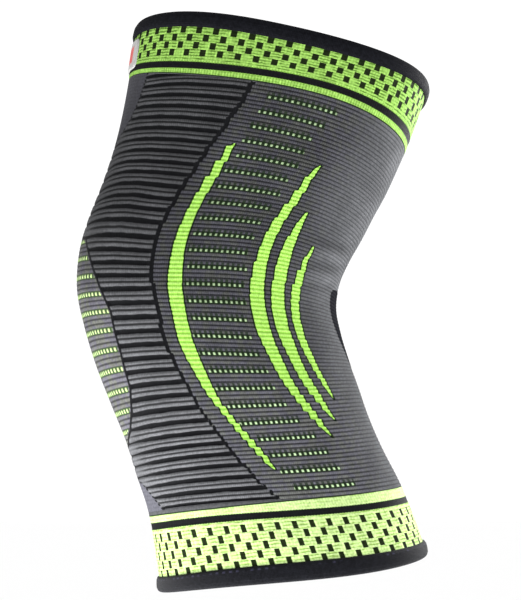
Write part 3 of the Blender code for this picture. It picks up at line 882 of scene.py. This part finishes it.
def add_front():
    height, row, _ = tube_rows()
    seam = along(SIDE_SEAM, row)
    side = np.linspace(-1, 1, FRONT_COLUMNS)[None, :]
    turn = np.abs(seam * side)
    angle = np.sign(side) * angle_of(turn)
    groove = groove_number(height, angle)
    groove_width = GROOVE_HALF_WIDTH + GROOVE_WIDENING * smooth(turn, *WIDENING)
    split = smooth(turn, *SPLITTING)
    knee_row = (row - KNEECAP_FIRST_ROW) / KNEECAP_ROW_STEP
    rib = knee_row * RIBS_A_ROW + 0.5
    kneecap = panel_reach(KNEECAP_EDGE, row, turn)
    gusset = np.maximum(panel_reach(UPPER_GUSSET_EDGE, row, turn), panel_reach(LOWER_GUSSET_EDGE, row, turn))
    from_seam = seam - turn
    off_groove = np.abs(groove - np.round(groove))
    wide = 1 - smooth(off_groove, groove_width * 0.5, groove_width + 0.14)
    notch = SPLIT_DEPTH * split * (1 - smooth(0.5 - off_groove, 0.0, 0.11))
    strength = smooth(from_seam, *WIDE_RIBS_START) * smooth(-np.maximum(kneecap, gusset), 0.2, 2.0)
    strength = strength * (FRONT_DEPTH + (1 - FRONT_DEPTH) * smooth(turn, *DEEPENING))
    kneecap_ribs = KNEECAP_RIB_DEPTH * rib_groove(rib) * smooth(kneecap, 0.2, 1.2)
    depth = WIDE_RIB_DEPTH * np.maximum(wide, notch) * strength + kneecap_ribs + seam_groove(from_seam)
    places = {
        "turn": turn, "row": row, "rib": rib, "groove": groove, "groove_width": groove_width, "split": split,
        "kneecap": kneecap, "gusset": gusset, "knee_row": knee_row, "seam": seam_band(row, turn),
    }
    piece = add_skin("tube_front", wall(angle, height, depth), places, front_material())
    hand_over(piece, "knit_tube")


def add_inside():
    rib = np.arange(2 * RIBS + 1)[:, None] / 2
    angle, turn = even_turns(INSIDE_COLUMNS)
    ends = smooth(np.abs(rib / RIBS - 0.5), 0.46, 0.5)
    depth = TUBE_WALL + (CUFF_WALL - TUBE_WALL) * ends - INSIDE_RIB_HEIGHT * rib_groove(rib) + 0 * turn
    piece = add_skin("tube_inside", wall(angle, rib_height(rib), depth), {"turn": turn, "rib": rib},
                     inside_material(), closed=True, inward=True)
    hand_over(piece, "knit_tube")


def add_cuff(name, node, cuff):
    """A cuff with both its faces, with distances in millimetres from the lower rim along the knit."""
    material = cuff_material(name + "_knit", cuff)
    distance = np.linspace(*cuff["reach"], CUFF_GRID[0])[:, None]
    angle, turn = even_turns(CUFF_GRID[1])
    line = (distance - cuff["first_line"]) / cuff["line_step"]
    column = np.interp(turn, *zip(*cuff["columns"])) - cuff["slant"] * line
    number = np.round(line)
    shifted = column + 0.5 * (np.abs(number) % 2)
    off_column = np.abs(shifted - np.round(shifted))
    in_rows = line < cuff["last_line"] + 0.6
    square = (1 - smooth(off_column, 0.12, 0.2)) * (1 - smooth(np.abs(line - number), 0.4, 0.5))
    square = square * (line > -0.5) * in_rows
    in_stripe = np.minimum(distance - cuff["stripe"][0], cuff["stripe"][1] - distance)
    tucked = smooth(np.abs(distance - cuff["tuck"]), 0.7, 0.0)
    depth = SQUARE_DEPTH * square + STRIPE_DEPTH * smooth(in_stripe, -0.3, 0.4) + TUCK_DEPTH * tucked
    overlap = np.sign(cuff["line_step"]) * (np.interp(turn, *zip(*cuff["overlap"])) - distance)
    places = {
        "column": column, "line": line + 0 * turn, "stripe": in_stripe + 0 * turn,
        "rows": 1.0 * in_rows + 0 * turn, "overlap": overlap,
    }
    outside = add_skin(name, wall(angle, knit_share(distance), depth), places, material, closed=True)
    hand_over(outside, node)
    step = CUFF_INSIDE_STEP
    distance, angle = distance[::step], angle[:, ::step]
    depth = np.full((len(distance), angle.shape[1]), CUFF_WALL)
    places = {place: values[::step, ::step] for place, values in places.items()}
    places["overlap"] = OUTSIDE
    inside = add_skin(name + "_inside", wall(angle, knit_share(distance), depth), places, material,
                      closed=True, inward=True)
    hand_over(inside, node)


def hem_profile(hem_height):
    """The hem's outline from its outer edge over the rim to its inner edge: (distance, depth)."""
    middle, radius = 1000 * CUFF_WALL / 2, 1000 * HEM_RADIUS
    profile = [
        (hem_height + 0.05, 0.15), (hem_height, -0.45), (hem_height - 0.3, -0.9), (hem_height - 0.9, -1.12),
    ]
    for distance in np.linspace(hem_height - 1.4, radius + 0.3, 9):
        bulge = 0.3 * math.sin(math.pi * distance / hem_height)
        profile.append((distance, middle - radius - bulge))
    for turned in np.linspace(0, math.pi, 13):
        profile.append((radius * (1 - math.sin(turned)), middle - radius * math.cos(turned)))
    for distance in np.linspace(radius + 0.6, hem_height - 0.9, 5):
        profile.append((distance, middle + radius))
    profile += [(hem_height - 0.3, middle + radius - 0.25), (hem_height, 2.4), (hem_height + 0.05, 1.7)]
    return np.array(profile)


def add_hem(name, node, rim, towards_tube, hem_height, stitched):
    """A folded edge: up outside the cuff, over its rim and down its inside, in millimetres."""
    profile = hem_profile(hem_height)
    if towards_tube > 0:
        profile = profile[::-1]
    distance, depth = profile[:, :1], profile[:, 1:] / 1000
    angle, turn = even_turns(HEM_COLUMNS)
    points = wall(angle, rim + towards_tube * knit_share(distance), depth + 0 * turn)
    material = hem_material(name + "_knit", hem_height - 1.3, stitched, 0.06 * stitched)
    piece = add_skin(name, points, {"turn": turn, "from_rim": distance}, material, closed=True)
    hand_over(piece, node)


def add_patch():
    """The plain patch on the front of the upper cuff, with round corners and a thin rounded edge."""
    top = 1 - knit_share(1000 * UPPER_HEM_HEIGHT + PATCH_BELOW_HEM)
    down = np.linspace(-1, 1, PATCH_GRID[0])[:, None] * PATCH_HEIGHT / 2
    cut = np.clip(np.abs(down) - (PATCH_HEIGHT / 2 - PATCH_CORNER), 0, PATCH_CORNER)
    half = PATCH_HALF_WIDTH - PATCH_CORNER + np.sqrt(np.maximum(PATCH_CORNER ** 2 - cut ** 2, 0))
    across = np.linspace(-1, 1, PATCH_GRID[1])[None, :] * half
    # The angles that lie at the wanted distances from the front, and the height that lies this far down
    fine = np.linspace(0, 60, 601)
    front = surface(fine, top - knit_share(PATCH_HEIGHT / 2))
    steps = np.linalg.norm(np.diff(front, axis=0), axis=-1) * 1000
    angle = np.sign(across) * np.interp(np.abs(across), np.concatenate(([0], np.cumsum(steps))), fine)
    rise = np.linalg.norm(surface(0, top) - surface(0, top - UP_STEP)) * 1000
    height = top - (down + PATCH_HEIGHT / 2) * UP_STEP / rise
    edge = np.minimum(half - np.abs(across), PATCH_HEIGHT / 2 - np.abs(down))
    share = np.clip(edge / PATCH_THICKNESS, 0, 1)
    puff = np.sqrt(share * (2 - share))
    depth = -(PATCH_EDGE + (PATCH_THICKNESS - PATCH_EDGE) * puff) / 1000
    piece = add_skin("front_patch", wall(angle, height, depth), {"across": across, "down": down},
                     patch_material(), inward=True)
    hand_over(piece, "label_patch")


def add_floor():
    """A plain pale floor below the sleeve."""
    mesh = bpy.data.meshes.new("floor")
    signs = ((-1, -1), (1, -1), (1, 1), (-1, 1))
    corners = [(FLOOR_REACH * x, FLOOR_REACH * y, FLOOR_HEIGHT) for x, y in signs]
    mesh.from_pydata(corners, [], [(0, 1, 2, 3)])
    material = bpy.data.materials.new("floor_paper")
    material.use_nodes = True
    shader = material.node_tree.nodes["Principled BSDF"]
    shader.inputs["Base Color"].default_value = FLOOR_COLOUR
    shader.inputs["Roughness"].default_value = 0.9
    mesh.materials.append(material)
    floor = bpy.data.objects.new("floor", mesh)
    bpy.context.scene.collection.objects.link(floor)


def add_lights():
    """White surroundings, and soft lights from the right and from below on the left."""
    world = bpy.data.worlds.new("studio")
    bpy.context.scene.world = world
    world.use_nodes = True
    background = world.node_tree.nodes["Background"]
    background.inputs["Color"].default_value = WORLD_COLOUR
    background.inputs["Strength"].default_value = WORLD_STRENGTH
    for name, place, aim, size, power in LIGHTS:
        light = bpy.data.lights.new(name, "AREA")
        light.size = size
        light.energy = power
        lamp = bpy.data.objects.new(name, light)
        lamp.visible_camera = False
        lamp.location = place
        direction = Vector(aim) - Vector(place)
        lamp.rotation_euler = direction.to_track_quat("-Z", "Y").to_euler()
        bpy.context.scene.collection.objects.link(lamp)


def add_camera():
    camera_data = bpy.data.cameras.new("camera")
    camera_data.lens = CAMERA_LENS
    camera_data.sensor_width = 36
    camera_data.clip_end = 100
    camera = bpy.data.objects.new("camera", camera_data)
    camera.location = CAMERA_PLACE
    camera.rotation_euler = (math.radians(CAMERA_TILT), 0, 0)
    bpy.context.scene.collection.objects.link(camera)
    bpy.context.scene.camera = camera
    bpy.context.scene.view_settings.view_transform = "Standard"


add_sides()
add_hollow()
add_front()
add_inside()
add_cuff("lower_band", "lower_cuff", LOWER_CUFF)
add_cuff("upper_band", "upper_cuff", UPPER_CUFF)
add_hem("lower_edge", "lower_hem", rim=0, towards_tube=1, hem_height=8.5, stitched=1.0)
add_hem("upper_edge", "upper_hem", rim=1, towards_tube=-1, hem_height=6.4, stitched=0.0)
add_patch()
add_floor()
add_lights()
add_camera()
